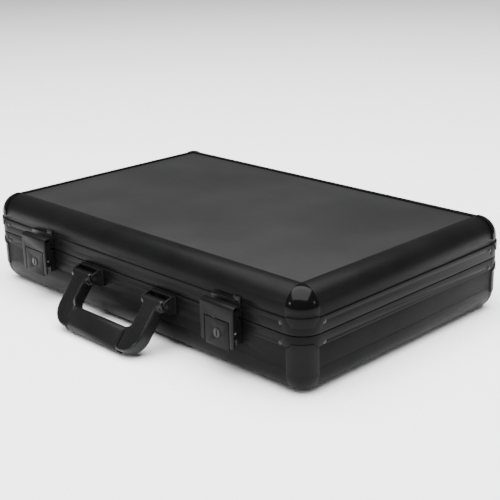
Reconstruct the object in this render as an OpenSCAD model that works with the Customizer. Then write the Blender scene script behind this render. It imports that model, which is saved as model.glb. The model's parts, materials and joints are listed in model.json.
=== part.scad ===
// Slim black aluminium attaché case with two key-locking latches and a
// swinging carrying handle, drawn closed and standing on its base.
// +X runs along the long front side, the handle side faces -Y, +Z is up.
// The origin is the centre of the case's footprint, on the standing plane.

/* [Case] */
// Length over the rim bands
case_l = 460; // [360:5:560]
// Depth over the rim bands, front to back
case_w = 296; // [220:2:400]
// Height over the edge rails
case_h = 96; // [90:1:150]
// Height of the parting line between base and lid
parting_z = 56.4; // [50:0.2:64]
// Gap between the two rim bands when the lid is shut
parting_gap = 1; // [0.6:0.1:2]
// Radius of the rim bands round the corners, seen from above
corner_r = 21; // [19:0.5:26]

/* [Rim bands and edge rails] */
// Height of the base rim band
base_band_h = 10.7; // [10:0.1:14]
// Height of the lid rim band
lid_band_h = 13.6; // [13:0.1:18]
// Step from the rim bands in to the rails and side panels
face_in = 1; // [0.5:0.1:1.5]
// Height of the base edge rail's outer face
rail_h = 25; // [24:0.5:30]
// Wall of the edge rails and corner mouldings
rail_wall = 1.2; // [1:0.1:1.6]
// Width of the flat lip of a rail that covers the panel's edge
lip_w = 1.2; // [0.8:0.1:3]
// Wall of the rim bands
band_wall = 1.6; // [1.2:0.1:2]
// Depth of the rim bands, outside to inside
band_depth = 6; // [5.6:0.1:8]
// Thickness of the tongue under the lid rim
tongue_t = 1.4; // [1:0.1:1.6]
// Length of the tongue below the parting line
tongue_h = 2.4; // [1.5:0.1:2.6]
// Height of the panel channels' inner legs
leg_h = 6; // [4:0.5:8]

/* [Corner mouldings] */
// How far the lid's ball corners stand proud of the rails
ball_proud = 0.8; // [0.4:0.1:1.2]
// How far the corner tabs stand proud of the rim bands
tab_t = 0.8; // [0.5:0.1:1.2]
// Width across a corner tab at its wide end
tab_wide = 27; // [24:0.5:28]
// Width across a corner tab at its narrow end
tab_narrow = 19; // [14:0.5:22]
// How far a corner tab reaches onto its rim band
tab_reach = 7; // [3:0.5:7.5]
// Distance from the case's corner to the corner rivets
corner_rivet_in = 26; // [25:0.5:34]

/* [Panels and lining] */
// Thickness of the floor, top and side panels
panel_t = 3.2; // [2.5:0.1:4]
// How deep the floor and top panels sit below the rails' lips
panel_sink = 1.4; // [1.3:0.1:2.5]
// Thickness of the lining
lining_t = 1; // [0.6:0.1:2]
// Thickness of the foam pad on the floor
base_foam_t = 6; // [4:1:20]
// Thickness of the foam pad in the lid
lid_foam_t = 18; // [8:1:18]

/* [Latches] */
// Distance from the case's centre to each latch
latch_x = 139.5; // [110:0.5:150]
// Width of the hasp plate
hasp_w = 42; // [38:0.5:50]
// Height of the hasp plate's lower edge
hasp_z0 = 31; // [29:0.5:34]
// Height of the top of the hasp's hook
hasp_z1 = 69.6; // [68:0.2:72]
// Distance from the rim band to the front of the latch
latch_u = 12.5; // [12.5:0.1:14]
// Thickness of the latch's pressed steel
latch_t = 1.2; // [1:0.1:1.4]
// Width of the lever between the hasp's legs
lever_w = 30; // [28:0.5:34]
// Height of the lever's thumb edge
lever_z0 = 28.5; // [27:0.5:30]
// Height of the lever's top edge
lever_z1 = 54.5; // [54:0.1:55]
// Gap between the lever and the hasp round it
lever_gap = 1; // [0.6:0.1:1.4]
// Radius of the lever and hasp pins
latch_pin_r = 1.2; // [1:0.05:1.3]
// Radius of the key plug
plug_r = 4; // [4:0.05:5]
// Height of the key plug's axis
plug_z = 41.8; // [41:0.1:42.5]

/* [Handle] */
// Distance from the case's centre to the middle of each bracket
handle_x = 54.5; // [48:0.5:70]
// Width of a bracket's back plate
bracket_w = 36; // [34:0.5:44]
// Width of the handle between the ears of one bracket
hub_w = 28.4; // [24:0.2:29]
// Width of the handle's legs
handle_leg_w = 20; // [16:0.5:24]
// Distance from the rim band to the handle's pivot
pivot_u = 10; // [9:0.5:12]
// Height of the handle's pivot
pivot_z = 46; // [44:0.5:48]
// Distance from the pivot to the outer edge of the grip
handle_reach = 55; // [50:0.5:70]
// Depth of the grip, inner edge to outer edge
grip_d = 24; // [20:0.5:28]
// Thickness of the grip
grip_t = 14; // [12:0.5:16]
// Radius of the handle's pivot pins
handle_pin_r = 2; // [1.5:0.1:2.5]

/* [Hinges and rivets] */
// Distance from the case's centre to each hinge
hinge_x = 140; // [110:0.5:160]
// Width of a hinge
hinge_w = 50; // [40:1:60]
// Outer radius of the hinge knuckles
knuckle_r = 3; // [2.6:0.1:3.2]
// Radius of the hinge pins
hinge_pin_r = 1.5; // [1.2:0.1:1.8]
// Opening angle at which the hinge lugs stop the lid
lid_open = 100; // [90:1:105]
// Radius of a rivet's shank
rivet_r = 1.2; // [1:0.1:1.5]
// Radius of a rivet's head
rivet_head_r = 2.2; // [1.8:0.1:2.6]

/* [Fits] */
// Radial clearance of a turning pin in its hole
pin_fit = 0.06; // [0.02:0.01:0.1]
// Clearance between moving faces
gap = 0.3; // [0.3:0.05:0.5]

/* [Hidden] */
$fn = 64;

// heights
base_top = parting_z - parting_gap / 2;
lid_bottom = parting_z + parting_gap / 2;
base_band_z = base_top - base_band_h;
lid_band_z = lid_bottom + lid_band_h;

// edge rails: rounding, and where the flat panels start
edge_r = corner_r - face_in;
edge_in = edge_r - rail_wall;
lip_in = corner_r + lip_w;
panel_in = edge_r;
floor_top = panel_sink + panel_t;
floor_leg = floor_top + rail_wall;
leg_u = face_in + panel_t;
leg_u1 = leg_u + rail_wall;
half_l = case_l / 2;
half_w = case_w / 2;

// the groove in the base rim and the tongue that enters it
groove_u0 = band_wall;
groove_u1 = band_depth - rail_wall;
tongue_u = (groove_u0 + groove_u1) / 2;

// latch: the lever turns on its pins, and carries the hasp on a second pair
lever_u = 7;
lever_z = lever_z1 - 4.7;
hasp_u = lever_u + 2.8;
hasp_z = lever_z - 3.8;
plug_u0 = 6.9;
cam_len = 7.6;
latch_plate_t = 1.5;
keeper_u = 5;

// the drooping handle's grip edge rests on the standing plane
handle_frame_t = 10;
handle_droop = asin((pivot_z - 0.1) / norm([handle_reach, handle_frame_t / 2]))
    - atan2(handle_frame_t / 2, handle_reach);

// hinge axis
hinge_u = knuckle_r + 0.5;

// rivet tails: through a rim band's wall, through a side panel, and through
// the lid rail's skirt with the rim's leg behind it
band_tail = band_wall + 0.8;
panel_tail = face_in + panel_t + 0.8;
skirt_tail = face_in + 2 * rail_wall + 0.6;
leaf_t = 1.2;

// ---------- shared shapes ----------

// Plan of the case's outside, moved in by u
module plan(u) {
    r = corner_r - u;
    square([case_l - 2 * u, case_w - 2 * u - 2 * r], center = true);
    square([case_l - 2 * u - 2 * r, case_w - 2 * u], center = true);
    for (sx = [-1, 1], sy = [-1, 1])
        translate([sx * (half_l - corner_r), sy * (half_w - corner_r)]) circle(r);
}

// Closed band from u0 to u1 inside the outline, z0 to z1
module ring(u0, u1, z0, z1) {
    translate([0, 0, z0]) linear_extrude(z1 - z0) difference() {
        plan(u0);
        plan(u1);
    }
}

// Turn a child drawn on the front side (u along -Y from y = 0) to a side:
// 0 front, 1 right, 2 back, 3 left; u = 0 then lies on the rim band's face
module on_side(side) {
    reach = side % 2 == 0 ? half_w : half_l;
    rotate([0, 0, 90 * side]) translate([0, -reach, 0]) children();
}

function side_run(side) = (side % 2 == 0 ? case_l : case_w) - 2 * corner_r;

// Extrude a (u, z) outline along a side; u counts inwards from the rim band
module along(side, run) {
    on_side(side) translate([-run / 2, 0, 0]) rotate([90, 0, 90])
        linear_extrude(run) children();
}

// Box given by its ranges; y counts outwards from the face it stands on
module block(x0, x1, u0, u1, z0, z1) {
    translate([x0, -u1, z0]) cube([x1 - x0, u1 - u0, z1 - z0]);
}

// Plate whose (outwards, z) outline is extruded from x0 to x1
module cheek(x0, x1) {
    translate([x0, 0, 0]) rotate([90, 0, 90]) linear_extrude(x1 - x0)
        mirror([1, 0]) children();
}

// Round bar along X through a point given outwards and up
module bar_x(x0, x1, u, z, r) {
    translate([x0, -u, z]) rotate([0, 90, 0]) cylinder(h = x1 - x0, r = r);
}

// Round bar pointing outwards from u0 to u1
module bar_u(x, z, u0, u1, r) {
    translate([x, -u0, z]) rotate([90, 0, 0]) cylinder(h = u1 - u0, r = r);
}

// ---------- edge rails ----------

// Rail outline for a standing base edge: rounded skin and lip
module rail_skin(skirt) {
    difference() {
        union() {
            intersection() {
                translate([corner_r, edge_r]) circle(edge_r);
                square([corner_r, edge_r]);
            }
            translate([corner_r, 0]) square([lip_w, rail_wall]);
            translate([face_in, edge_r]) square([rail_wall, skirt - edge_r]);
        }
        translate([corner_r, edge_r]) intersection() {
            circle(edge_in);
            translate([-edge_in, -edge_in]) square([edge_in, edge_in]);
        }
    }
}

// Shelf that carries the floor or top panel
module panel_shelf() {
    shelf_u = corner_r - sqrt(edge_in * edge_in - pow(edge_r - floor_top, 2));
    translate([shelf_u - rail_wall / 4, floor_top])
        square([lip_in + leg_h / 2 - shelf_u, rail_wall]);
}

module base_rail_outline() {
    rail_skin(rail_h);
    panel_shelf();
    translate([face_in, rail_h - rail_wall]) square([leg_u1 - face_in, rail_wall]);
    translate([leg_u, rail_h - leg_h]) square([rail_wall, 2 * leg_h]);
}

module lid_rail_outline() {
    translate([0, case_h]) mirror([0, 1]) {
        rail_skin(case_h - lid_band_z);
        panel_shelf();
    }
}

// Keeps two rails that meet at a corner apart along the mitre
module mitred(side) {
    reach = side_len(side) / 2;
    deep = 2 * corner_r;
    intersection() {
        children();
        on_side(side) linear_extrude(case_h)
            polygon([[-reach, 0], [reach, 0], [reach - deep, deep], [deep - reach, deep]]);
    }
}

module base_rail(side) {
    color("#303030") mitred(side) along(side, side_run(side)) base_rail_outline();
}

module lid_rail(side) {
    color("#303030") difference() {
        mitred(side) along(side, side_run(side)) lid_rail_outline();
        if (side == 0) lid_rivet_bores();
    }
}

// ---------- panels ----------

module flat_panel(z) {
    translate([panel_in - half_l, panel_in - half_w, z])
        cube([case_l - 2 * panel_in, case_w - 2 * panel_in, panel_t]);
}

module base_floor_panel() { color("#3a3a3a") flat_panel(panel_sink); }
module lid_top_panel() { color("#4c4c4c") flat_panel(case_h - floor_top); }

module base_side_panel(side) {
    color("#3a3a3a") difference() {
        along(side, side_run(side)) translate([face_in, rail_h])
            square([panel_t, base_band_z - rail_h]);
        base_rivet_bores();
    }
}

// ---------- rim bands ----------

module base_rim() {
    color("#2c2c2c") difference() {
        union() {
            ring(0, groove_u0, base_band_z, base_top);
            ring(0, band_depth, base_band_z, base_band_z + rail_wall);
            ring(groove_u1, band_depth, base_band_z, base_top);
            ring(leg_u, leg_u1, base_band_z - leg_h, base_band_z + rail_wall);
        }
        base_rivet_bores();
    }
}

module lid_rim() {
    color("#2c2c2c") difference() {
        union() {
            ring(0, band_wall, lid_bottom, lid_band_z);
            ring(0, band_depth, lid_bottom, lid_bottom + rail_wall);
            ring(groove_u1, band_depth, lid_bottom, lid_band_z);
            ring(0, band_depth, lid_band_z - rail_wall, lid_band_z);
            ring(face_in + rail_wall, face_in + 2 * rail_wall, lid_band_z - rail_wall,
                 case_h - edge_r - 0.2);
            ring(tongue_u - tongue_t / 2, tongue_u + tongue_t / 2,
                 parting_z - tongue_h, lid_bottom + rail_wall);
        }
        lid_rivet_bores();
    }
}

// ---------- rivets: [side, place along it, height, plate under head, tail] ----------

function side_len(side) = side % 2 == 0 ? case_l : case_w;
function corner_rivets(z) = [
    for (side = [0:3], s = [-1, 1])
        [side, s * (side_len(side) / 2 - corner_rivet_in), z, 0, band_tail]
];
base_corner_rivet_z = base_band_z + 2.8;
lid_corner_rivet_z = lid_band_z - 4.5;
latch_rivet_x = 12.5;
keeper_rivet_x = 14;
bracket_rivet_x = 9;
hinge_rivet_x = hinge_w / 2 - 7;
panel_rivet_z = base_band_z - 8.7;
keeper_rivet_z = lid_band_z + 2.6;

base_hardware_list = concat(
    [for (m = [-1, 1], s = [-1, 1])
        [0, m * latch_x + s * latch_rivet_x, base_band_z + 5, latch_plate_t, band_tail]],
    [for (m = [-1, 1], s = [-1, 1])
        [0, m * latch_x + s * latch_rivet_x, panel_rivet_z, latch_plate_t, panel_tail]],
    [for (m = [-1, 1], s = [-1, 1])
        [0, m * handle_x + s * bracket_rivet_x, base_band_z + 5, latch_plate_t, band_tail]],
    [for (m = [-1, 1], s = [-1, 0, 1])
        [2, m * hinge_x + s * hinge_rivet_x, panel_rivet_z, leaf_t, panel_tail]]
);
lid_hardware_list = concat(
    [for (m = [-1, 1])
        [0, m * latch_x + keeper_rivet_x, keeper_rivet_z, leaf_t, skirt_tail]],
    [for (m = [-1, 1])
        [0, m * latch_x - keeper_rivet_x, lid_bottom + 7.1, leaf_t, band_tail]],
    [for (m = [-1, 1], s = [-1, 0, 1])
        [2, m * hinge_x + s * hinge_rivet_x, lid_bottom + 9.5, leaf_t, band_tail]]
);

module rivet(r) {
    head_h = 0.9;
    dome_r = (rivet_head_r * rivet_head_r + head_h * head_h) / (2 * head_h);
    on_side(r[0]) {
        bar_u(r[1], r[2], -r[4], r[3] + 0.01, rivet_r);
        translate([r[1], -r[3], r[2]]) rotate([90, 0, 0]) intersection() {
            cylinder(h = head_h + 1, r = rivet_head_r + 1);
            translate([0, 0, head_h - dome_r]) sphere(dome_r);
        }
    }
}

module bores(list) {
    for (r = list) on_side(r[0]) bar_u(r[1], r[2], -r[4] - 1, r[3] + 1, rivet_r + 0.02);
}

module base_rivet_bores() {
    bores(corner_rivets(base_corner_rivet_z));
    bores(base_hardware_list);
}

module lid_rivet_bores() {
    bores(corner_rivets(lid_corner_rivet_z));
    bores(lid_hardware_list);
}

module rivets(list) {
    color("#404040") for (r = list) rivet(r);
}

// ---------- corner mouldings ----------

// Place a moulding drawn in the first quadrant at a corner of the case
module at_corner(sx, sy) {
    turn = sx > 0 ? (sy > 0 ? 0 : 270) : (sy > 0 ? 90 : 180);
    translate([sx * (half_l - corner_r), sy * (half_w - corner_r), 0])
        rotate([0, 0, turn]) children();
}

// Shell turned from an outline given as (inwards, z)
module corner_shell() {
    rotate_extrude(angle = 90) intersection() {
        translate([corner_r, 0]) mirror([1, 0]) children();
        square([corner_r + 5, case_h + 5]);
    }
}

// Slice of a round corner, r0 to r1, cut to a tapered outline
module tab(r0, r1, z0, z1, w0, w1) {
    intersection() {
        translate([0, 0, z0]) rotate_extrude(angle = 90)
            translate([r0, 0]) square([r1 - r0, z1 - z0]);
        rotate([0, 0, 45]) rotate([90, 0, 90]) linear_extrude(2 * corner_r)
                polygon([[-w0 / 2, z0], [w0 / 2, z0], [w1 / 2, z1], [-w1 / 2, z1]]);
    }
}

module base_corner(sx, sy) {
    tab_z = base_band_z + min(tab_reach, base_band_h) / 2;
    color("#333333") at_corner(sx, sy) {
        corner_shell() rail_skin(base_band_z);
        tab(edge_in + 0.5, edge_r + tab_t, edge_r, base_band_z - 1.5, tab_wide, tab_wide);
        tab(edge_in + 0.5, corner_r + tab_t, base_band_z - 2, base_band_z, tab_wide,
            tab_wide - 1.4);
        tab(corner_r, corner_r + tab_t, base_band_z - 0.5, tab_z, tab_wide - 1.4, tab_narrow);
    }
}

module lid_corner(sx, sy) {
    color("#101010") at_corner(sx, sy) {
        corner_shell() translate([0, case_h]) mirror([0, 1]) {
            rail_skin(case_h - lid_band_z);
            ball_skin();
        }
        tab(edge_in + 0.5, corner_r + tab_t, lid_band_z, lid_band_z + 1.4,
            tab_wide + 1, tab_wide + 1);
        tab(corner_r, corner_r + tab_t, lid_band_z - tab_reach, lid_band_z + 0.5,
            tab_narrow, tab_wide + 1);
    }
}

// Extra thickness that makes the lid's corner a proud ball
module ball_skin() {
    translate([corner_r, edge_r]) intersection() {
        difference() {
            circle(edge_r + ball_proud);
            circle(edge_r);
        }
        translate([-2 * edge_r, -2 * edge_r]) square(2 * edge_r);
    }
}

// ---------- lining and foam ----------

lining_u = max(band_depth, leg_u1 + gap);
lining_top = case_h - floor_leg;

step_in = corner_r / 3;

// Lining wall standing on the open side, stepped in to clear the rails' round
module lining(z_open, z_far) {
    up = z_far > z_open ? 1 : -1;
    z_step = z_far - up * step_in;
    z_ledge = z_step + up * lining_t;
    z_skin = z_far - up * lining_t;
    ring(lining_u, lining_u + lining_t, min(z_open, z_ledge), max(z_open, z_ledge));
    ring(lining_u, lining_u + step_in + lining_t, min(z_step, z_ledge), max(z_step, z_ledge));
    ring(lining_u + step_in, lining_u + step_in + lining_t, min(z_step, z_far),
         max(z_step, z_far));
    translate([0, 0, min(z_skin, z_far)]) linear_extrude(lining_t) plan(lining_u + step_in);
}

module foam_pad(z_face, z_back) {
    inset = lining_u + lining_t + step_in + 0.5;
    translate([0, 0, min(z_face, z_back)]) linear_extrude(abs(z_face - z_back)) plan(inset);
}

module base_lining() { color("#1c1c1c") lining(base_top - 1, floor_leg); }
module lid_lining() { color("#1c1c1c") lining(lid_bottom + rail_wall + 1, lining_top); }
module base_foam() {
    back = floor_leg + lining_t;
    color("#262626") foam_pad(back + base_foam_t, back);
}
module lid_foam() {
    back = lining_top - lining_t;
    color("#262626") foam_pad(back - lid_foam_t, back);
}

// ---------- latches, drawn about x = 0 on the front face ----------

hasp_cheek_in = hasp_w / 2 - latch_t;
lever_ear_in = lever_w / 2 - latch_t;
base_ear_in = lever_w / 2 + 1.2;

module at_latch(side) { on_side(0) translate([side * latch_x, 0, 0]) children(); }

// Bores made at their place on the case, seen from a latch's own frame
module latch_frame_bores(side) {
    translate([-side * latch_x, half_w, 0]) children();
}

// Pressed plate with rounded lower corners
module front_plate(w, z0, z1, r) {
    translate([0, latch_t - latch_u, 0]) rotate([90, 0, 0]) linear_extrude(latch_t) {
        translate([-w / 2, z0 + r]) square([w, z1 - z0 - r]);
        translate([-w / 2 + r, z0]) square([w - 2 * r, r + 1]);
        for (s = [-1, 1]) translate([s * (w / 2 - r), z0 + r]) circle(r);
    }
}

module latch_base(side) {
    low = hasp_z0 + 1.7;
    wide = base_ear_in + latch_t;
    high = base_top - 0.5;
    catch_z = plug_z - cam_len - 0.5;
    catch_u = plug_u0 + gap;
    color("#3c3c3c") at_latch(side) difference() {
        union() {
            block(-wide, wide, -face_in, latch_plate_t, low, base_band_z);
            block(-wide, wide, 0, latch_plate_t, base_band_z - 0.01, high);
            for (x = [-wide, base_ear_in]) {
                block(x, x + latch_t, 0, 5.2, low, high);
                block(x, x + latch_t, 4, lever_u, lever_z - 3, lever_z + 3);
                bar_x(x, x + latch_t, lever_u, lever_z, 3);
            }
            block(-4, 4, 0, catch_u + 1.2, low, catch_z);
            block(-4, 4, catch_u, catch_u + 1.2, low, catch_z + 1.4);
        }
        latch_frame_bores(side) base_rivet_bores();
        bar_x(-wide - 1, wide + 1, lever_u, lever_z, latch_pin_r);
    }
}

module lever_pins() {
    reach = base_ear_in + latch_t;
    color("#555555") for (side = [-1, 1])
        at_latch(side) bar_x(-reach, reach, lever_u, lever_z, latch_pin_r);
}

// Torsion springs: one coil each side of the lock, a leg on the base plate
// and a leg behind the lever
module latch_springs() {
    coil_x = 9.8;
    coil_w = 5.2;
    wire = 1;
    color("#777777") for (side = [-1, 1], s = [-1, 1]) at_latch(side)
        translate([s * coil_x - coil_w / 2, 0, 0]) {
            difference() {
                bar_x(0, coil_w, lever_u, lever_z, 2.9);
                bar_x(-1, coil_w + 1, lever_u, lever_z, latch_pin_r + gap);
            }
            block(0, wire, latch_plate_t, lever_u - 1.8, lever_z - 2.6, lever_z - 1.6);
            block(coil_w - wire, coil_w, lever_u + 1.9, lever_u + 2.9, plug_z - 3, lever_z);
        }
}

module lever(side) {
    bezel_r = plug_r + pin_fit + 0.9;
    color("#3c3c3c") at_latch(side) difference() {
        union() {
            front_plate(lever_w, lever_z0, lever_z1, 1.5);
            for (x = [-lever_w / 2, lever_ear_in]) {
                block(x, x + latch_t, lever_u, latch_u - 0.6, lever_z - 2, lever_z1 - 0.8);
                block(x, x + latch_t, lever_u, latch_u - 0.6, hasp_z - 2.6, lever_z);
                bar_x(x, x + latch_t, lever_u, lever_z, 3);
            }
        }
        bar_u(0, plug_z, 0, latch_u + 5, bezel_r);
        bar_x(-lever_w, lever_w, lever_u, lever_z, latch_pin_r + pin_fit);
        bar_x(-lever_w, lever_w, hasp_u, hasp_z, latch_pin_r);
    }
}

module lock_bezel(side) {
    bore = plug_r + pin_fit;
    color("#2a2a2a") at_latch(side) difference() {
        union() {
            bar_u(0, plug_z, plug_u0 + 0.8, latch_u + 0.3, bore + 0.9);
            bar_u(0, plug_z, plug_u0 + 0.8, latch_u - latch_t, bore + 1.5);
        }
        bar_u(0, plug_z, 0, latch_u + 5, bore);
    }
}

module lock_plug(side) {
    slot_h = 6;
    color("#505050") at_latch(side) difference() {
        bar_u(0, plug_z, plug_u0, latch_u + 0.5, plug_r);
        block(-0.6, 0.6, latch_u - 2.5, latch_u + 2,
              plug_z - slot_h / 2, plug_z + slot_h / 2);
    }
}

module lock_cam(side) {
    color("#777777") at_latch(side) intersection() {
        bar_u(0, plug_z, plug_u0 - latch_t, plug_u0, cam_len);
        union() {
            block(0, cam_len, 0, latch_u, plug_z - 2, plug_z + 2);
            bar_u(0, plug_z, 0, latch_u, 3);
        }
    }
}

module hasp_pins(side) {
    color("#555555") at_latch(side) {
        bar_x(-hasp_w / 2, -lever_ear_in, hasp_u, hasp_z, latch_pin_r);
        bar_x(lever_ear_in, hasp_w / 2, hasp_u, hasp_z, latch_pin_r);
    }
}

module hasp(side) {
    bend = 3.4;
    hook_u = keeper_u + gap + 0.1;
    window = lever_w / 2 + lever_gap;
    color("#3c3c3c") at_latch(side) difference() {
        union() {
            front_plate(hasp_w, hasp_z0, hasp_z1 - bend, 3);
            cheek(-hasp_w / 2, hasp_w / 2) {
                translate([latch_u - bend, hasp_z1 - bend]) intersection() {
                    difference() {
                        circle(bend);
                        circle(bend - latch_t);
                    }
                    square(bend);
                }
                translate([hook_u, hasp_z1 - latch_t])
                    square([latch_u - bend - hook_u, latch_t]);
                translate([hook_u, hasp_z1 - 4.5]) square([latch_t, 4.5]);
            }
            for (x = [-hasp_w / 2, hasp_cheek_in])
                block(x, x + latch_t, hook_u, latch_u - 0.5, hasp_z - 6, hasp_z1 - bend);
        }
        block(-window, window, 0, latch_u + 1, 0, lever_z1 + lever_gap);
        bar_x(-hasp_w, hasp_w, hasp_u, hasp_z, latch_pin_r + pin_fit);
    }
}

// Strike plate, with one riveted ear at its right-hand end
module keeper(side) {
    wide = hasp_w / 2 - 3;
    ear_x = 2 * keeper_rivet_x - wide;
    low = lid_bottom + 1;
    high = case_h - edge_r - 0.1;
    color("#3c3c3c") at_latch(side) difference() {
        union() {
            block(-wide, wide, 0, leaf_t, low, lid_band_z + 1);
            block(-wide, wide, -face_in, leaf_t, lid_band_z, lid_band_z + 1);
            block(ear_x, wide, -face_in, leaf_t, lid_band_z, high);
            block(-wide + 1, wide - 1, 0, keeper_u, low, low + leaf_t);
            block(-wide + 1, wide - 1, keeper_u - leaf_t, keeper_u, low, low + 11);
        }
        latch_frame_bores(side) lid_rivet_bores();
    }
}

// ---------- handle ----------

hub_r = 5.5;
grip_r = grip_t / 2;
leg_in = handle_x - handle_leg_w / 2;
leg_out = handle_x + handle_leg_w / 2;
ear_in = hub_w / 2 + gap;
ear_t = 1.5;

module at_bracket(side) { on_side(0) translate([side * handle_x, 0, 0]) children(); }

module handle_bracket(side) {
    z0 = pivot_z - 9;
    z1 = pivot_z + 8;
    w = bracket_w / 2;
    color("#2c2c2c") at_bracket(side) difference() {
        union() {
            block(-w, w, -face_in, latch_plate_t, z0, base_band_z);
            block(-w, w, 0, latch_plate_t, base_band_z - 0.01, z1);
            block(-ear_in - ear_t, ear_in + ear_t, 0, 4, z1 - latch_plate_t, z1);
            for (x = [-ear_in - ear_t, ear_in]) cheek(x, x + ear_t)
                polygon([[-face_in, z0], [5, z0], [pivot_u + 2, pivot_z - 4],
                         [pivot_u + 4, pivot_z + 5], [4, z1], [0, z1], [0, base_band_z],
                         [-face_in, base_band_z]]);
        }
        translate([-side * handle_x, half_w, 0]) base_rivet_bores();
        bar_x(-w, w, pivot_u, pivot_z, handle_pin_r);
    }
}

module handle_pins() {
    reach = ear_in + ear_t + 0.8;
    color("#666666") for (side = [-1, 1])
        at_bracket(side) bar_x(-reach, reach, pivot_u, pivot_z, handle_pin_r);
}

// Drawn pointing straight outwards from the pivot, then drooped
module drooped() {
    on_side(0) translate([0, -pivot_u, pivot_z]) rotate([handle_droop, 0, 0]) children();
}

// Outline of the handle in its own plane: x across, y outwards
elbow_r = 21;
module handle_outline() {
    difference() {
        union() {
            translate([-leg_out, -handle_reach + elbow_r])
                square([2 * leg_out, handle_reach - elbow_r]);
            translate([-leg_out + elbow_r, -handle_reach])
                square([2 * (leg_out - elbow_r), elbow_r + 1]);
            for (s = [-1, 1])
                translate([s * (leg_out - elbow_r), elbow_r - handle_reach]) circle(elbow_r);
        }
        inner = 6;
        translate([-leg_in, grip_d - handle_reach + inner]) square([2 * leg_in, handle_reach]);
        translate([-leg_in + inner, grip_d - handle_reach])
            square([2 * (leg_in - inner), handle_reach]);
        for (s = [-1, 1])
            translate([s * (leg_in - inner), grip_d + inner - handle_reach]) circle(inner);
    }
}

module handle_frame() {
    color("#151515") drooped() difference() {
        union() {
            translate([0, 0, -handle_frame_t / 2]) linear_extrude(handle_frame_t)
                handle_outline();
            for (s = [-1, 1]) translate([s * handle_x, 0, 0])
                rotate([0, 90, 0]) cylinder(h = hub_w, r = hub_r, center = true);
        }
        for (s = [-1, 1]) translate([s * handle_x, 0, 0])
            rotate([0, 90, 0]) cylinder(h = 2 * hub_w, r = handle_pin_r + pin_fit, center = true);
        sleeve_bore();
    }
}

sleeve_l = 2 * (leg_out - elbow_r - 4);

// The part of the frame that the grip sleeve takes up
module sleeve_bore() {
    translate([-sleeve_l / 2, -handle_reach - 1, -grip_t])
        cube([sleeve_l, grip_d + 2, 2 * grip_t]);
    translate([0, grip_r - handle_reach + 2, 0]) rotate([0, 90, 0])
        cylinder(h = sleeve_l + 12, r = 3.4, center = true);
}

// Grip: rounded outer edge, thinner inner edge, with a core through it
module handle_grip() {
    inner_r = 4;
    color("#1a1a1a") drooped() {
        rotate([90, 0, 90]) translate([0, 0, -sleeve_l / 2]) linear_extrude(sleeve_l) {
            translate([grip_r - handle_reach, 0]) circle(grip_r);
            translate([grip_r - handle_reach, -grip_r + 1])
                square([grip_d - grip_r - inner_r, 2 * grip_r - 2]);
            translate([grip_d - inner_r - handle_reach, 0]) circle(inner_r);
        }
        translate([0, grip_r - handle_reach + 2, 0]) rotate([0, 90, 0])
            cylinder(h = sleeve_l + 11.5, r = 3.35, center = true);
    }
}

// ---------- hinges ----------

module at_hinge(side) { on_side(2) translate([side * hinge_x, 0, 0]) children(); }

knuckle_l = hinge_w / 5;
lug_t = 1.6;

// Knuckles number first, first + 2 ... with the strips that join them to a
// leaf; the lid's also have the lug that meets the base leaf when fully open
module knuckles(first, count, z0, z1) {
    for (i = [0:count - 1]) {
        x0 = -hinge_w / 2 + (first + 2 * i) * knuckle_l + gap / 2;
        x1 = x0 + knuckle_l - gap;
        bar_x(x0, x1, hinge_u, parting_z, knuckle_r);
        block(x0, x1, 0, leaf_t, z0, z1);
        if (first == 1) translate([x0, -hinge_u, parting_z]) rotate([-lid_open, 0, 0])
            translate([0, hinge_u - leaf_t - lug_t - gap / 2, -knuckle_r - 3])
                cube([x1 - x0, lug_t, 4]);
    }
}

module hinge_bore(r) { bar_x(-hinge_w, hinge_w, hinge_u, parting_z, r); }

module hinge_base_leaf(side) {
    top = parting_z - knuckle_r - 1;
    w = hinge_w / 2;
    low = base_band_z - leg_h * 2;
    color("#404040") at_hinge(side) difference() {
        union() {
            block(-w, w, -face_in, leaf_t, low, base_band_z);
            block(-w, w, 0, leaf_t, base_band_z - 0.01, top);
            knuckles(0, 3, top - 1, parting_z);
        }
        translate([-side * hinge_x, half_w, 0]) rotate([0, 0, 180]) base_rivet_bores();
        hinge_bore(hinge_pin_r);
    }
}

module hinge_lid_leaf(side) {
    low = parting_z + knuckle_r + 1;
    w = hinge_w / 2;
    color("#404040") at_hinge(side) difference() {
        union() {
            block(-w, w, 0, leaf_t, low, lid_band_z - 0.6);
            knuckles(1, 2, parting_z, low + 1);
        }
        translate([-side * hinge_x, half_w, 0]) rotate([0, 0, 180]) lid_rivet_bores();
        hinge_bore(hinge_pin_r + pin_fit);
    }
}

module hinge_pins() {
    color("#777777") for (side = [-1, 1])
        at_hinge(side) bar_x(-hinge_w / 2, hinge_w / 2, hinge_u, parting_z, hinge_pin_r);
}

// ---------- nodes ----------

base_floor_panel();
base_side_panel(0);  // base_front_panel
base_side_panel(1);  // base_right_panel
base_side_panel(2);  // base_back_panel
base_side_panel(3);  // base_left_panel
base_rail(0);  // base_front_rail
base_rail(1);  // base_right_rail
base_rail(2);  // base_back_rail
base_rail(3);  // base_left_rail
base_rim();
base_corner(-1, -1);  // base_corner_front_left
base_corner(1, -1);  // base_corner_front_right
base_corner(-1, 1);  // base_corner_back_left
base_corner(1, 1);  // base_corner_back_right
rivets(corner_rivets(base_corner_rivet_z));  // base_corner_rivets
base_lining();
base_foam();
lid_top_panel();
lid_rail(0);  // lid_front_rail
lid_rail(1);  // lid_right_rail
lid_rail(2);  // lid_back_rail
lid_rail(3);  // lid_left_rail
lid_rim();
lid_corner(-1, -1);  // lid_corner_front_left
lid_corner(1, -1);  // lid_corner_front_right
lid_corner(-1, 1);  // lid_corner_back_left
lid_corner(1, 1);  // lid_corner_back_right
rivets(corner_rivets(lid_corner_rivet_z));  // lid_corner_rivets
lid_lining();
lid_foam();
latch_base(-1);  // latch_base_left
latch_base(1);  // latch_base_right
lever_pins();
latch_springs();
keeper(-1);  // keeper_left
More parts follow.
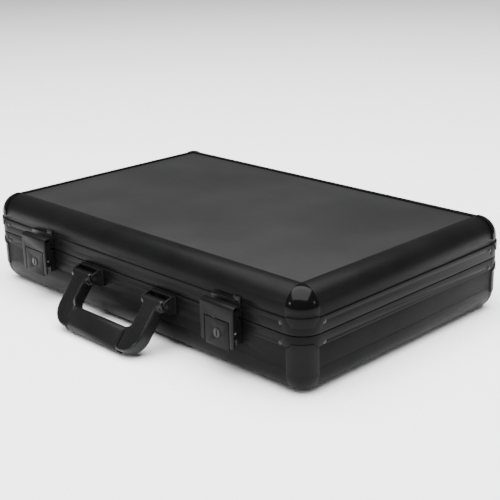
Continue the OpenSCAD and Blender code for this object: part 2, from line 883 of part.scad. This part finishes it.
keeper(1);  // keeper_right
lever(-1);  // lever_left
lever(1);  // lever_right
lock_bezel(-1);  // lock_bezel_left
lock_bezel(1);  // lock_bezel_right
hasp_pins(-1);  // hasp_pins_left
hasp_pins(1);  // hasp_pins_right
hasp(-1);  // hasp_left
hasp(1);  // hasp_right
lock_plug(-1);  // lock_plug_left
lock_plug(1);  // lock_plug_right
lock_cam(-1);  // lock_cam_left
lock_cam(1);  // lock_cam_right
handle_bracket(-1);  // handle_bracket_left
handle_bracket(1);  // handle_bracket_right
handle_pins();
handle_frame();
handle_grip();
hinge_base_leaf(-1);  // hinge_base_leaf_left
hinge_base_leaf(1);  // hinge_base_leaf_right
hinge_pins();
hinge_lid_leaf(-1);  // hinge_lid_leaf_left
hinge_lid_leaf(1);  // hinge_lid_leaf_right
rivets(base_hardware_list);  // base_hardware_rivets
rivets(lid_hardware_list);  // lid_hardware_rivets
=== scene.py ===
import json
import math
import bpy
from mathutils import Matrix, Vector


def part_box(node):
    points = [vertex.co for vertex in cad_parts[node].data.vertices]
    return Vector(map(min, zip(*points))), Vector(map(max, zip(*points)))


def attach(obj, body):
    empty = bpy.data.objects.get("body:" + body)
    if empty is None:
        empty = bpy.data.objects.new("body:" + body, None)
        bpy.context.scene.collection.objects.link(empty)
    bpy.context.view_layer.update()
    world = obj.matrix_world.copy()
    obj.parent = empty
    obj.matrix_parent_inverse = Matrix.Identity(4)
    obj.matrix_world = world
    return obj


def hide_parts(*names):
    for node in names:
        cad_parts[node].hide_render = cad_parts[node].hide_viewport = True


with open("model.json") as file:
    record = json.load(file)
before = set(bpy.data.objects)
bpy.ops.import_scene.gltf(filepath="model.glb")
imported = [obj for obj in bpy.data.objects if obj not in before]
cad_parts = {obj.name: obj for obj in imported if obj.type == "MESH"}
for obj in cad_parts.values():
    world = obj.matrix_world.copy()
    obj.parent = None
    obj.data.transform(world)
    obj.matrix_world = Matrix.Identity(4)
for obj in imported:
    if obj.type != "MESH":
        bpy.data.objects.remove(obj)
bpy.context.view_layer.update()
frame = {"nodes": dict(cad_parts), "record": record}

# %% [markdown]
# The case is a slim attaché case of black anodised profiles. The imported model
# already holds every working piece at its real place, so this file gives those
# pieces their soft edges and finishes, and models the shapes that need more
# than a bevel: the moulded handle and the foam. The ball corners and the linings
# keep their packed shapes and get their own finishes. Its own box is measured
# first, because nothing may grow past it.

# %% Measure the imported case
MM = 0.001
case_lo, case_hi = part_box("base_rim")
band_half_l = case_hi.x
case_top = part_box("lid_front_rail")[1].z
corner_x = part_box("base_front_rail")[1].x
corner_r = band_half_l - corner_x
print("case", [round(v, 3) for v in case_hi - case_lo], "corner radius", round(corner_r, 4))

# %% [markdown]
# A camera for a product picture stands well back with a long lens, so that
# the case's far edges stay nearly parallel. Three numbers aim it: how far it
# has swung round the case, how high it looks down, and a slight roll.

# %% Camera
SWING, RISE, ROLL = (math.radians(v) for v in (45.65, 18.76, -1.26))
CAMERA_AT = Vector((0.7675, -0.7318, 0.4051))
LENS = 76.26

back = Vector((math.sin(SWING) * math.cos(RISE), -math.cos(SWING) * math.cos(RISE), math.sin(RISE)))
right = Vector((0, 0, 1)).cross(back).normalized()
up = back.cross(right)
rolled_right = right * math.cos(ROLL) + up * math.sin(ROLL)
rolled_up = up * math.cos(ROLL) - right * math.sin(ROLL)
camera_data = bpy.data.cameras.new("camera")
camera_data.lens = LENS
camera_data.sensor_width = 36
camera_data.clip_end = 20
camera = bpy.data.objects.new("camera", camera_data)
bpy.context.scene.collection.objects.link(camera)
turn = Matrix((rolled_right, rolled_up, back)).transposed().to_4x4()
camera.matrix_world = Matrix.Translation(CAMERA_AT) @ turn
bpy.context.scene.camera = camera
print("camera at", tuple(round(v, 3) for v in CAMERA_AT))

# %% [markdown]
# Studio light for black goods is made of large soft panels: the pieces
# themselves stay dark, and what the eye reads as shape is the reflection of
# the light in the rounded rails. A big panel overhead whitens the floor and
# draws the soft line along the rails. Two small lamps, one on each side of
# the camera, add the sharp glints on polished balls and elbows. The world
# itself stays dim, or it would veil the dark top at this low angle.

# %% Floor and lights
def stage_floor():
    bpy.ops.mesh.primitive_plane_add(size=8, location=(0, 0, -0.0004))
    floor = bpy.context.object
    floor.name = "floor"
    shade = bpy.data.materials.new("floor_white")
    shade.use_nodes = True
    shader = shade.node_tree.nodes["Principled BSDF"]
    shader.inputs["Base Color"].default_value = (0.93, 0.93, 0.93, 1)
    shader.inputs["Roughness"].default_value = 0.9
    shader.inputs["Specular IOR Level"].default_value = 0.1
    floor.data.materials.append(shade)


def soft_panel(name, place, aim, size, power):
    light = bpy.data.lights.new(name, "AREA")
    light.shape = "RECTANGLE"
    light.size, light.size_y = size
    light.energy = power
    lamp = bpy.data.objects.new(name, light)
    bpy.context.scene.collection.objects.link(lamp)
    lamp.location = place
    lamp.rotation_mode = "QUATERNION"
    lamp.rotation_quaternion = (Vector(aim) - Vector(place)).to_track_quat("-Z", "Y")


stage_floor()
soft_panel("overhead", (0.2, -0.3, 2.2), (0, 0, 0), (3.2, 3.2), 330)
soft_panel("left_lamp", (-0.29, -1.57, 0.62), (0, 0, 0.05), (0.17, 0.17), 5)
soft_panel("right_lamp", (1.56, 0.37, 0.62), (0, 0, 0.05), (0.17, 0.17), 2.5)
world = bpy.data.worlds.new("studio")
bpy.context.scene.world = world
world.use_nodes = True
world.node_tree.nodes["Background"].inputs["Color"].default_value = (1, 1, 1, 1)
world.node_tree.nodes["Background"].inputs["Strength"].default_value = 0.3

# %% [markdown]
# Every finish here is nearly black, and they are told apart by how they
# scatter light. One function builds them all: a base colour with slow
# patches of tone, a roughness that varies with it, and a fine bump. The
# pattern is read from Object coordinates, in metres, so its scale is the
# real one on every piece. The bump can be stretched along one axis, which
# is how a drawn or brushed profile differs from a moulding.

# %% One function for the dark finishes
def new_material(name):
    made = bpy.data.materials.new(name)
    made.use_nodes = True
    return made, made.node_tree.nodes, made.node_tree.links


def noise(nodes, links, vector, scale, detail=3.0):
    made = nodes.new("ShaderNodeTexNoise")
    made.inputs["Scale"].default_value = scale
    made.inputs["Detail"].default_value = detail
    links.new(vector, made.inputs["Vector"])
    return made.outputs["Fac"]


def ramp(nodes, links, source, low, high, start=0.3, stop=0.7):
    made = nodes.new("ShaderNodeMapRange")
    made.inputs["From Min"].default_value = start
    made.inputs["From Max"].default_value = stop
    made.inputs["To Min"].default_value = low
    made.inputs["To Max"].default_value = high
    links.new(source, made.inputs["Value"])
    return made.outputs["Result"]


def tone_mix(nodes, links, fac, dark, light):
    made = nodes.new("ShaderNodeMix")
    made.data_type = "RGBA"
    made.inputs[6].default_value = (*dark, 1)
    made.inputs[7].default_value = (*light, 1)
    links.new(fac, made.inputs[0])
    return made.outputs[2]


def add_bump(nodes, links, height, strength, distance, under=None):
    made = nodes.new("ShaderNodeBump")
    made.inputs["Strength"].default_value = strength
    made.inputs["Distance"].default_value = distance
    links.new(height, made.inputs["Height"])
    if under is not None:
        links.new(under, made.inputs["Normal"])
    return made.outputs["Normal"]


def dark_finish(name, tone, rough, metal=0.0, stretch=(1, 1, 1), grain=1400, bump=0.15,
                bump_depth=0.00004, spread=0.25, rough_spread=0.06, ior=1.3, specular=0.3):
    made, nodes, links = new_material(name)
    shader = nodes["Principled BSDF"]
    place = nodes.new("ShaderNodeTexCoord").outputs["Object"]
    scaled = nodes.new("ShaderNodeMapping")
    scaled.inputs["Scale"].default_value = stretch
    links.new(place, scaled.inputs["Vector"])
    patches = noise(nodes, links, place, 22)
    fine = noise(nodes, links, scaled.outputs["Vector"], grain, 2.0)
    dark = [c * (1 - spread) for c in tone]
    light = [c * (1 + spread) for c in tone]
    fac = ramp(nodes, links, patches, 0.0, 1.0)
    links.new(tone_mix(nodes, links, fac, dark, light), shader.inputs["Base Color"])
    links.new(ramp(nodes, links, fine, rough - rough_spread, rough + rough_spread),
              shader.inputs["Roughness"])
    links.new(add_bump(nodes, links, fine, bump, bump_depth), shader.inputs["Normal"])
    shader.inputs["Metallic"].default_value = metal
    shader.inputs["Specular IOR Level"].default_value = specular
    shader.inputs["IOR"].default_value = ior
    return made


# %% [markdown]
# The rails and rim bands are extrusions, drawn through a die and then
# anodised black. Their faint grain runs along each length, so the same
# finish is made twice, stretched along X for the long sides and along Y for
# the short ones. A low index of refraction keeps their sheen dull.

# %% Metal finishes
ANODISED = (0.0034, 0.0034, 0.0036)
along_x = dark_finish("anodised_along_x", ANODISED, 0.40, specular=0.12, stretch=(0.04, 1, 1))
along_y = dark_finish("anodised_along_y", ANODISED, 0.40, specular=0.12, stretch=(1, 0.04, 1))
anodised_bent = dark_finish("anodised_bent", ANODISED, 0.40, specular=0.12, grain=900)
side_sheet = dark_finish("side_sheet", (0.0042, 0.0042, 0.0044), 0.5, grain=1600, bump=0.25,
                         specular=0.1)
latch_steel = dark_finish("latch_steel", (0.0036, 0.0036, 0.0038), 0.42, specular=0.14,
                          stretch=(1, 1, 0.06), grain=1200)
black_steel = dark_finish("black_steel", (0.006, 0.006, 0.0063), 0.38, specular=0.2, grain=1100)
rivet_black = dark_finish("rivet_black", (0.012, 0.012, 0.0125), 0.28, specular=0.4, grain=2000)
lock_metal = dark_finish("lock_metal", (0.014, 0.014, 0.0145), 0.30, specular=0.35,
                         stretch=(1, 0.1, 1), grain=1500)
bezel_black = dark_finish("bezel_black", (0.003, 0.003, 0.0032), 0.34, specular=0.2)
zinc = dark_finish("zinc_steel", (0.42, 0.42, 0.43), 0.32, metal=1.0, grain=900, spread=0.12)

# %% [markdown]
# Mouldings have no grain. The handle and the ball corners were polished in
# the mould, so they are smooth and nearly black; the base corners, the tabs
# of the lid's corners and the grip were left satin.

# %% Moulded finishes
polished = dark_finish("polished_black", (0.002, 0.002, 0.0021), 0.14, grain=300, bump=0.05,
                       rough_spread=0.03, ior=1.3, specular=0.16)
satin_moulding = dark_finish("satin_moulding", (0.0048, 0.0048, 0.005), 0.42, grain=1500, bump=0.2,
                             specular=0.14)
handle_plastic = dark_finish("handle_plastic", (0.0055, 0.0055, 0.0057), 0.24, grain=400,
                             bump=0.06, rough_spread=0.04, ior=1.4, specular=0.2)
print("finishes", len(bpy.data.materials))

# %% [markdown]
# No real edge is perfectly sharp: folded sheet, sawn profile and moulding all
# end in a small round, and that round is what catches the light. A packed
# piece is loose triangles, so each is copied, its corners merged and its flat
# triangles joined into whole faces, and then the true edges get a bevel of
# the size that the trade would leave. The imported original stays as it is.

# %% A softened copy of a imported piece
def only(piece):
    bpy.ops.object.select_all(action="DESELECT")
    piece.select_set(True)
    bpy.context.view_layer.objects.active = piece


def apply_modifiers(piece):
    only(piece)
    for step in list(piece.modifiers):
        bpy.ops.object.modifier_apply(modifier=step.name)


def merged_copy(node, name):
    source = frame["nodes"][node]
    only(source)
    bpy.ops.object.duplicate()
    piece = bpy.context.object
    piece.name = name
    piece.parent = None
    for key in list(piece.keys()):
        del piece[key]
    bpy.ops.object.mode_set(mode="EDIT")
    bpy.ops.mesh.select_all(action="SELECT")
    bpy.ops.mesh.remove_doubles(threshold=0.000002)
    bpy.ops.mesh.dissolve_limited(angle_limit=math.radians(0.6))
    bpy.ops.object.mode_set(mode="OBJECT")
    return piece


def finish_piece(piece, body, shade, smooth=32):
    only(piece)
    bpy.ops.object.shade_smooth_by_angle(angle=math.radians(smooth))
    piece.data.materials.clear()
    piece.data.materials.append(shade)
    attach(piece, body)
    return piece


body_of_node = {n: b for b, ns in frame["record"]["behaviour"]["bodies"].items() for n in ns}


def softened(node, shade, width=0.00025, segments=2, edge=35):
    piece = merged_copy(node, node + "_soft")
    if width:
        bevel = piece.modifiers.new("edge", "BEVEL")
        bevel.width = width
        bevel.segments = segments
        bevel.limit_method = "ANGLE"
        bevel.angle_limit = math.radians(edge)
        bevel.use_clamp_overlap = True
        apply_modifiers(piece)
    finish_piece(piece, body_of_node[node], shade)
    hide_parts(node)
    return piece


# %% [markdown]
# With that one tool the frame of the case is dressed: rails and bands with
# grain along their length, the side strips in flat painted sheet, and the
# pressed hardware in dark steel. Thin sheet gets a smaller bevel than a bar.

# %% Frame, panels and hardware
SIDES = {"front": along_x, "back": along_x, "left": along_y, "right": along_y}
for side, drawn in SIDES.items():
    softened(f"base_{side}_rail", drawn, 0.0002)
    softened(f"lid_{side}_rail", drawn, 0.0002)
    softened(f"base_{side}_panel", side_sheet, 0.0003)
for rim in ("base_rim", "lid_rim"):
    softened(rim, anodised_bent, 0.0003)
for end in ("left", "right"):
    softened(f"latch_base_{end}", black_steel, 0.00015)
    softened(f"keeper_{end}", black_steel, 0.00025)
    softened(f"lever_{end}", latch_steel, 0.0003)
    softened(f"hasp_{end}", latch_steel, 0.00035)
    softened(f"lock_bezel_{end}", bezel_black, 0.0002)
    softened(f"lock_plug_{end}", lock_metal, 0.0002)
    softened(f"lock_cam_{end}", zinc, 0.00015)
    softened(f"hasp_pins_{end}", zinc, 0.0002)
    softened(f"handle_bracket_{end}", black_steel, 0.00035)
    softened(f"hinge_base_leaf_{end}", black_steel, 0.0002)
    softened(f"hinge_lid_leaf_{end}", black_steel, 0.0002)
for pins in ("lever_pins", "hinge_pins", "latch_springs"):
    softened(pins, zinc, 0.0002)
softened("handle_pins", rivet_black, 0.0002)
for rivets in ("base_corner_rivets", "lid_corner_rivets",
               "base_hardware_rivets", "lid_hardware_rivets"):
    softened(rivets, rivet_black, 0)

# %% [markdown]
# The top is a sheet of laminate embossed with very small diamonds, a common
# skin for such cases: it hides scratches and reads as a soft grey from afar.
# Two families of lines cross at right angles, each a sine of the place along
# a diagonal, and their sum is the height of the embossing. The same height also
# goes into the base colour, as painted shade in the hollows of the diamonds and
# a painted highlight on their peaks.

# %% Embossed panels
DIAMOND = 0.0017


def embossed(name, tone, rough, relief):
    made, nodes, links = new_material(name)
    shader = nodes["Principled BSDF"]
    place = nodes.new("ShaderNodeTexCoord").outputs["Object"]
    waves = []
    for angle in (45, -45):
        mapping = nodes.new("ShaderNodeMapping")
        mapping.inputs["Rotation"].default_value = (0, 0, math.radians(angle))
        links.new(place, mapping.inputs["Vector"])
        split = nodes.new("ShaderNodeSeparateXYZ")
        links.new(mapping.outputs["Vector"], split.inputs[0])
        scaled = nodes.new("ShaderNodeMath")
        scaled.operation = "MULTIPLY"
        scaled.inputs[1].default_value = 2 * math.pi / DIAMOND
        links.new(split.outputs["X"], scaled.inputs[0])
        wave = nodes.new("ShaderNodeMath")
        wave.operation = "SINE"
        links.new(scaled.outputs[0], wave.inputs[0])
        waves.append(wave.outputs[0])
    crossed = nodes.new("ShaderNodeMath")
    crossed.operation = "MULTIPLY"
    links.new(waves[0], crossed.inputs[0])
    links.new(waves[1], crossed.inputs[1])
    fine = noise(nodes, links, place, 2600, 2.0)
    grain = add_bump(nodes, links, fine, 0.25, 0.00003)
    links.new(add_bump(nodes, links, crossed.outputs[0], relief, 0.00012, grain),
              shader.inputs["Normal"])
    patches = ramp(nodes, links, noise(nodes, links, place, 9), 0.0, 1.0)
    # Base colour: slow random patches of tone plus the embossing height, which paints shade into
    # the hollows and a highlight onto the peaks.
    fac = nodes.new("ShaderNodeMath")
    fac.operation = "MULTIPLY_ADD"
    fac.inputs[1].default_value = 0.5
    links.new(crossed.outputs[0], fac.inputs[0])
    links.new(patches, fac.inputs[2])
    links.new(tone_mix(nodes, links, fac.outputs[0], [c * 0.7 for c in tone],
                       [c * 1.3 for c in tone]), shader.inputs["Base Color"])
    shader.inputs["Roughness"].default_value = rough
    shader.inputs["Specular IOR Level"].default_value = 0.3
    shader.inputs["IOR"].default_value = 1.3
    return made


top_skin = embossed("embossed_top", (0.0105, 0.0105, 0.0108), 0.58, 0.5)
floor_skin = embossed("embossed_floor", (0.009, 0.009, 0.0092), 0.6, 0.5)
softened("lid_top_panel", top_skin, 0.0003)
softened("base_floor_panel", floor_skin, 0.0003)
print("diamonds", DIAMOND, "m apart")

# %% [markdown]
# The base corners are plain satin mouldings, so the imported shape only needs
# its edges rounded. The lid's corners are balls with a tab below: the packed
# shape has both, and only the faces of the ball are polished.

# %% Corner mouldings
BALL_SHARE = 0.86
BALL_FROM = case_top - corner_r * BALL_SHARE


def ball_corner(node):
    piece = softened(node, polished, 0.0004, segments=3)
    piece.data.materials.append(satin_moulding)
    for face in piece.data.polygons:
        if face.center.z < BALL_FROM:
            face.material_index = 1
    return piece


for depth in ("front", "back"):
    for end in ("left", "right"):
        softened(f"base_corner_{depth}_{end}", satin_moulding, 0.0004, segments=3)
        ball_corner(f"lid_corner_{depth}_{end}")
print("balls are polished above", round(BALL_FROM, 4))

# %% [markdown]
# The handle is one stout moulding: two legs and two large elbows, with a
# sleeve between them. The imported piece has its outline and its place, but it
# is cut from a flat bar, and a moulding has no trace of a flat or an edge. So
# a copy is turned level, thickened, given a new skin of small even faces and
# relaxed until the surface flows, and then it is let down to where it rests.

# %% Handle: its measures
pins_lo, pins_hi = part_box("handle_pins")
PIVOT = Vector((0, (pins_lo.y + pins_hi.y) / 2, (pins_lo.z + pins_hi.z) / 2))
REACH = 55 * MM
BAR_DEPTH = 24 * MM
HALF_BAR = 5 * MM
HALF_THICK = 6.8 * MM
CLEAR = 0.1 * MM
DROOP = (math.asin((PIVOT.z - CLEAR) / math.hypot(REACH, HALF_BAR))
         - math.atan2(HALF_BAR, REACH))
THIN_REACH = 0.98
print("droop", round(math.degrees(DROOP), 1), "degrees")

# %% Handle: level, thicken, melt and let down

def turn_about_pins(piece, angle):
    only(piece)
    bpy.ops.object.mode_set(mode="EDIT")
    bpy.ops.mesh.select_all(action="SELECT")
    bpy.ops.transform.rotate(value=angle, orient_axis="X", center_override=PIVOT)
    bpy.ops.object.mode_set(mode="OBJECT")


def melt_edges(piece, voxel, rounds):
    remesh = piece.modifiers.new("even_skin", "REMESH")
    remesh.mode = "VOXEL"
    remesh.voxel_size = voxel
    melt = piece.modifiers.new("melt", "SMOOTH")
    melt.factor = 0.5
    melt.iterations = rounds
    apply_modifiers(piece)


handle = merged_copy("handle_frame", "handle_moulding")
turn_about_pins(handle, DROOP)
bpy.ops.object.mode_set(mode="EDIT")
bpy.ops.transform.resize(value=(1, THIN_REACH, HALF_THICK / HALF_BAR), center_override=PIVOT)
bpy.ops.object.mode_set(mode="OBJECT")
level = [v.co - PIVOT for v in handle.data.vertices]
print("level handle reaches", round(min(v.y for v in level), 4), "thick",
      round(max(v.z for v in level) - min(v.z for v in level), 4))
melt_edges(handle, 0.9 * MM, 26)
turn_about_pins(handle, -DROOP)
print(handle.name, len(handle.data.polygons), "faces, lowest",
      round(min(v.co.z for v in handle.data.vertices), 5))
finish_piece(handle, "handle", handle_plastic, smooth=60)
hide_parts("handle_frame")

# %% [markdown]
# Each leg ends in a barrel that turns on the bracket's pin. A cylinder with
# softened rims is set across each leg, on the axis of the pins.

# %% Handle: the two barrels
def select_faces(piece, test):
    bpy.ops.object.mode_set(mode="OBJECT")
    for part in (*piece.data.edges, *piece.data.vertices):
        part.select = False
    for face in piece.data.polygons:
        face.select = test(face.center, face.normal)
    bpy.ops.object.mode_set(mode="EDIT")


bracket_lo, bracket_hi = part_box("handle_bracket_right")
BARREL_LENGTH, BARREL_RADIUS, BARREL_EDGE = 28.4 * MM, 5.5 * MM, 1.2 * MM
for end, x in (("right", 1), ("left", -1)):
    bpy.ops.object.select_all(action="DESELECT")
    middle = x * (bracket_lo.x + bracket_hi.x) / 2
    bpy.ops.mesh.primitive_cylinder_add(vertices=48, radius=BARREL_RADIUS, depth=BARREL_LENGTH,
                                        location=(middle, PIVOT.y, PIVOT.z),
                                        rotation=(0, math.pi / 2, 0))
    barrel = bpy.context.object
    barrel.name = f"handle_barrel_{end}"
    bpy.ops.object.transform_apply(location=True, rotation=True)
    select_faces(barrel, lambda c, n: abs(n.x) > 0.9)
    bpy.ops.mesh.bevel(offset=BARREL_EDGE, segments=4, affect="EDGES")
    select_faces(barrel, lambda c, n: abs(n.x) > 0.999)
    bpy.ops.mesh.inset(thickness=BARREL_EDGE, depth=0)
    bpy.ops.mesh.inset(thickness=BARREL_EDGE / 4, depth=-BARREL_EDGE / 3)
    bpy.ops.object.mode_set(mode="OBJECT")
    finish_piece(barrel, "handle", handle_plastic, smooth=40)
    print(barrel.name, "at", round(middle, 4))

# %% [markdown]
# The sleeve is a little larger than the bar all round, so its ends show as
# two fine steps. A box is given long rounds, then two shallow grooves are
# pressed in near its ends, where the real sleeve is clamped.

# %% Handle: the sleeve
SLEEVE_OVER = 0.2 * MM
SLEEVE_ROUND = 5.8 * MM
GROOVE_IN = 3 * MM
GROOVE = 0.965
sleeve_half = 40 * MM
bpy.ops.object.select_all(action="DESELECT")
bpy.ops.mesh.primitive_cube_add(size=1, location=(0, BAR_DEPTH / 2 - REACH, 0))
sleeve = bpy.context.object
sleeve.name = "grip_sleeve"
sleeve.scale = (2 * sleeve_half, BAR_DEPTH + 2 * SLEEVE_OVER, 2 * (HALF_THICK + SLEEVE_OVER))
bpy.ops.object.transform_apply(location=True, scale=True)
bpy.ops.object.mode_set(mode="EDIT")
bpy.ops.mesh.select_mode(type="EDGE")
bpy.ops.mesh.select_all(action="DESELECT")
bpy.ops.object.mode_set(mode="OBJECT")
points = sleeve.data.vertices
for edge in sleeve.data.edges:
    first, last = (points[v].co for v in edge.vertices)
    edge.select = abs(first.x - last.x) > sleeve_half
bpy.ops.object.mode_set(mode="EDIT")
bpy.ops.mesh.bevel(offset=SLEEVE_ROUND, segments=7, profile=0.46, affect="EDGES")
for x in (-1, 1):
    for step in (0, 0.5 * MM, 1.0 * MM):
        bpy.ops.mesh.select_all(action="SELECT")
        bpy.ops.mesh.bisect(plane_co=(x * (sleeve_half - GROOVE_IN + step), 0, 0),
                            plane_no=(1, 0, 0))
bpy.ops.object.mode_set(mode="OBJECT")
for part in (*sleeve.data.polygons, *sleeve.data.edges):
    part.select = False
for point in sleeve.data.vertices:
    groove_at = sleeve_half - GROOVE_IN + 0.5 * MM
    point.select = abs(abs(point.co.x) - groove_at) < 0.02 * MM
bpy.ops.object.mode_set(mode="EDIT")
bpy.ops.mesh.select_mode(type="VERT")
bpy.ops.transform.resize(value=(1, GROOVE, GROOVE),
                         center_override=(0, BAR_DEPTH / 2 - REACH, 0))
bpy.ops.mesh.select_all(action="SELECT")
bpy.ops.transform.translate(value=PIVOT)
bpy.ops.object.mode_set(mode="OBJECT")
turn_about_pins(sleeve, -DROOP)
finish_piece(sleeve, "handle", satin_moulding, smooth=60)
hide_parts("handle_grip")
print("sleeve", round(2 * sleeve_half, 4), "long")

# %% [markdown]
# Inside, both shells are lined with a thin felted cloth over board. Felt has
# no gloss at all: very short fibres stand in every direction, so it needs a
# rough base, a faint sheen at low angles, and a bump made of two sizes of
# noise, one for the single fibres and one for the way they mat together.

# %% Felt lining
def soft_finish(name, tone, fibre, clump, depth, sheen):
    made, nodes, links = new_material(name)
    shader = nodes["Principled BSDF"]
    place = nodes.new("ShaderNodeTexCoord").outputs["Object"]
    matted = noise(nodes, links, place, clump, 4.0)
    single = noise(nodes, links, place, fibre, 2.0)
    fac = ramp(nodes, links, matted, 0.0, 1.0)
    links.new(tone_mix(nodes, links, fac, [c * 0.65 for c in tone], [c * 1.35 for c in tone]),
              shader.inputs["Base Color"])
    under = add_bump(nodes, links, matted, 0.5, depth)
    links.new(add_bump(nodes, links, single, 0.7, depth / 3, under), shader.inputs["Normal"])
    shader.inputs["Roughness"].default_value = 0.95
    shader.inputs["Specular IOR Level"].default_value = 0.15
    shader.inputs["Sheen Weight"].default_value = sheen
    shader.inputs["Sheen Roughness"].default_value = 0.6
    return made


felt = soft_finish("felt", (0.012, 0.012, 0.0125), 3200, 420, 0.00025, 0.12)
foam_cells = soft_finish("foam_cells", (0.017, 0.017, 0.0175), 1500, 700, 0.0004, 0.03)
for shell in ("base", "lid"):
    softened(f"{shell}_lining", felt, 0.0003)
print("linings in", felt.name)

# %% [markdown]
# A foam pad fills each shell. The base has a thin flat one whose cut edge
# sinks a little. The lid has the deep kind that is cut between two rollers:
# rows of soft peaks and hollows that press down on whatever is carried. Both
# start as a fine grid raised to their thickness, and one rule then lowers
# each point of the open face. Corners are drawn in to a round.

# %% Foam pads
PEAK_PITCH = 26 * MM
PEAK_DEPTH = 9 * MM
CELL = 3.6 * MM
CORNER_ROUND = 7 * MM
EDGE_SINK = 1.6 * MM


def flat_relief(x, y, inside):
    return EDGE_SINK * math.exp(-inside / (3 * MM))


def peaked_relief(x, y, inside):
    wave = math.cos(2 * math.pi * x / PEAK_PITCH) * math.cos(2 * math.pi * y / PEAK_PITCH)
    return PEAK_DEPTH * 0.5 * (1 - wave) + flat_relief(x, y, inside) * 0.5


def foam_pad(name, node, body, facing, relief):
    low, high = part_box(node)
    size = high - low
    middle = (low + high) / 2
    face_z, back_z = (high.z, low.z) if facing > 0 else (low.z, high.z)
    bpy.ops.object.select_all(action="DESELECT")
    bpy.ops.mesh.primitive_grid_add(x_subdivisions=round(size.x / CELL),
                                    y_subdivisions=round(size.y / CELL),
                                    size=1, location=(middle.x, middle.y, face_z))
    pad = bpy.context.object
    pad.name = name
    pad.scale = (size.x, size.y, 1)
    bpy.ops.object.transform_apply(location=True, scale=True)
    bpy.ops.object.mode_set(mode="EDIT")
    bpy.ops.mesh.select_all(action="SELECT")
    bpy.ops.mesh.extrude_region_move(TRANSFORM_OT_translate={"value": (0, 0, back_z - face_z)})
    bpy.ops.mesh.select_all(action="SELECT")
    bpy.ops.mesh.normals_make_consistent(inside=False)
    bpy.ops.object.mode_set(mode="OBJECT")
    round_x, round_y = size.x / 2 - CORNER_ROUND, size.y / 2 - CORNER_ROUND
    for point in pad.data.vertices:
        x, y = point.co.x - middle.x, point.co.y - middle.y
        out_x, out_y = max(0, abs(x) - round_x), max(0, abs(y) - round_y)
        far = math.hypot(out_x, out_y)
        if far > CORNER_ROUND:
            shrink = CORNER_ROUND / far
            x = math.copysign(round_x + out_x * shrink, x)
            y = math.copysign(round_y + out_y * shrink, y)
            point.co.x, point.co.y = middle.x + x, middle.y + y
        if abs(point.co.z - face_z) < 0.1 * MM:
            inside = max(0, min(size.x / 2 - abs(x), size.y / 2 - abs(y)))
            point.co.z = face_z - facing * relief(x, y, inside)
    finish_piece(pad, body, foam_cells, smooth=60)
    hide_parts(node)
    print(name, len(pad.data.polygons), "faces")


foam_pad("base_foam_pad", "base_foam", "base", 1, flat_relief)
foam_pad("lid_foam_pad", "lid_foam", "lid", -1, peaked_relief)
